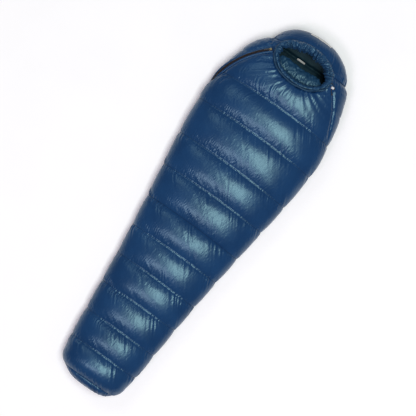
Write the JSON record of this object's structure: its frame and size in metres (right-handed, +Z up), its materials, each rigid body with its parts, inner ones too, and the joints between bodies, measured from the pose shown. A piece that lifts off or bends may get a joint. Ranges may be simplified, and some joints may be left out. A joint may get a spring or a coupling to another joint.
{
  "type": "mummy sleeping bag",
  "caption": "Mummy sleeping bag, lying flat on its back: quilted down tube tapering to the foot, with a hood, a cord-drawn face opening, a draft collar and a two-way zip down the left side.",
  "frame": {"origin": "under the middle of the bag, on the surface it lies on", "axes": "+Y along the bag towards the hood's crown, +Z up out of the face opening, +X to the right seen from above with the hood away from the viewer"},
  "size_m": [0.6927, 2.101, 0.2301],
  "materials": {
    "shell_cloth": "satin",
    "lining_cloth": "satin",
    "down_fill": "matte",
    "baffle_mesh": "matte",
    "cord": "matte",
    "dark_metal": "satin",
    "pull_metal": "satin",
    "spring_steel": "satin",
    "black_plastic": "gloss",
    "silver_plastic": "gloss",
    "zip_coil": "matte",
    "zip_tape": "matte",
    "crown_label": "satin",
    "inner_label": "matte"
  },
  "bodies": {
    "bag": {"baffle_wall_01": "baffle_mesh", "baffle_wall_02": "baffle_mesh", "baffle_wall_03": "baffle_mesh", "baffle_wall_04": "baffle_mesh", "baffle_wall_05": "baffle_mesh", "baffle_wall_06": "baffle_mesh", "baffle_wall_07": "baffle_mesh", "baffle_wall_08": "baffle_mesh", "baffle_wall_09": "baffle_mesh", "baffle_wall_10": "baffle_mesh", "baffle_wall_11": "baffle_mesh", "baffle_wall_12": "baffle_mesh", "body_lining": "lining_cloth", "collar_drawcord": "cord", "cord_eyelet": "dark_metal", "crown_label": "crown_label", "down_chamber_01": "down_fill", "down_chamber_02": "down_fill", "down_chamber_03": "down_fill", "down_chamber_04": "down_fill", "down_chamber_05": "down_fill", "down_chamber_06": "down_fill", "down_chamber_07": "down_fill", "down_chamber_08": "down_fill", "down_chamber_09": "down_fill", "down_chamber_10": "down_fill", "down_chamber_11": "down_fill", "down_chamber_12": "down_fill", "down_foot_cap": "down_fill", "down_hood_crown": "down_fill", "draft_collar_back": "lining_cloth", "draft_collar_front": "lining_cloth", "face_hem": "shell_cloth", "foot_panel_shell": "shell_cloth", "hood_cord_end": "black_plastic", "hood_cord_tail": "cord", "hood_drawcord": "cord", "hood_lining": "lining_cloth", "hood_shell": "shell_cloth", "inner_label": "inner_label", "top_shell": "shell_cloth", "underside_shell": "shell_cloth", "zip_coil_foot_side": "zip_coil", "zip_coil_head_side": "zip_coil", "zip_draft_tube": "lining_cloth", "zip_stops": "dark_metal", "zip_tape_foot_side": "zip_tape", "zip_tape_head_side": "zip_tape"},
    "upper_slider": {"upper_slider": "dark_metal"},
    "upper_pull": {"upper_slider_pull": "pull_metal"},
    "lower_slider": {"lower_slider": "dark_metal"},
    "lower_pull": {"lower_slider_pull": "pull_metal"},
    "cordlock": {"cordlock_barrel": "silver_plastic", "cordlock_spring": "spring_steel"},
    "cordlock_button": {"cordlock_plunger": "black_plastic"}
  },
  "joints": [
    {"name": "upper_slider_travel", "type": "hinge", "parent": "bag", "child": "upper_slider", "pos_m": [0.09522, 0.54666, 0.01809], "axis": [0.1759, -0.3653, 0.9141], "range_deg": [0, 30.8]},
    {"name": "upper_pull_swing", "type": "hinge", "parent": "upper_slider", "child": "upper_pull", "pos_m": [-0.18195, 0.84904, 0.19916], "axis": [-0.5974, 0.7604, -0.2547], "range_deg": [0, 150]},
    {"name": "lower_slider_travel", "type": "slide", "parent": "bag", "child": "lower_slider", "axis": [-0.1071, 0.9942, 0], "range_m": [0, 1.18]},
    {"name": "lower_pull_swing", "type": "hinge", "parent": "lower_slider", "child": "lower_pull", "pos_m": [-0.20195, -0.79086, 0.06], "axis": [0, 0, 1], "range_deg": [0, 150]},
    {"name": "cordlock_slide", "type": "slide", "parent": "bag", "child": "cordlock", "axis": [0.0601, -0.9969, -0.0501], "range_m": [0, 0.007]},
    {"name": "cordlock_press", "type": "slide", "parent": "cordlock", "child": "cordlock_button", "axis": [-0.9385, -0.0735, 0.3374], "range_m": [0, 0.0025], "stiffness_N_per_m": 600, "deforming": ["cordlock_spring"]}
  ]
}
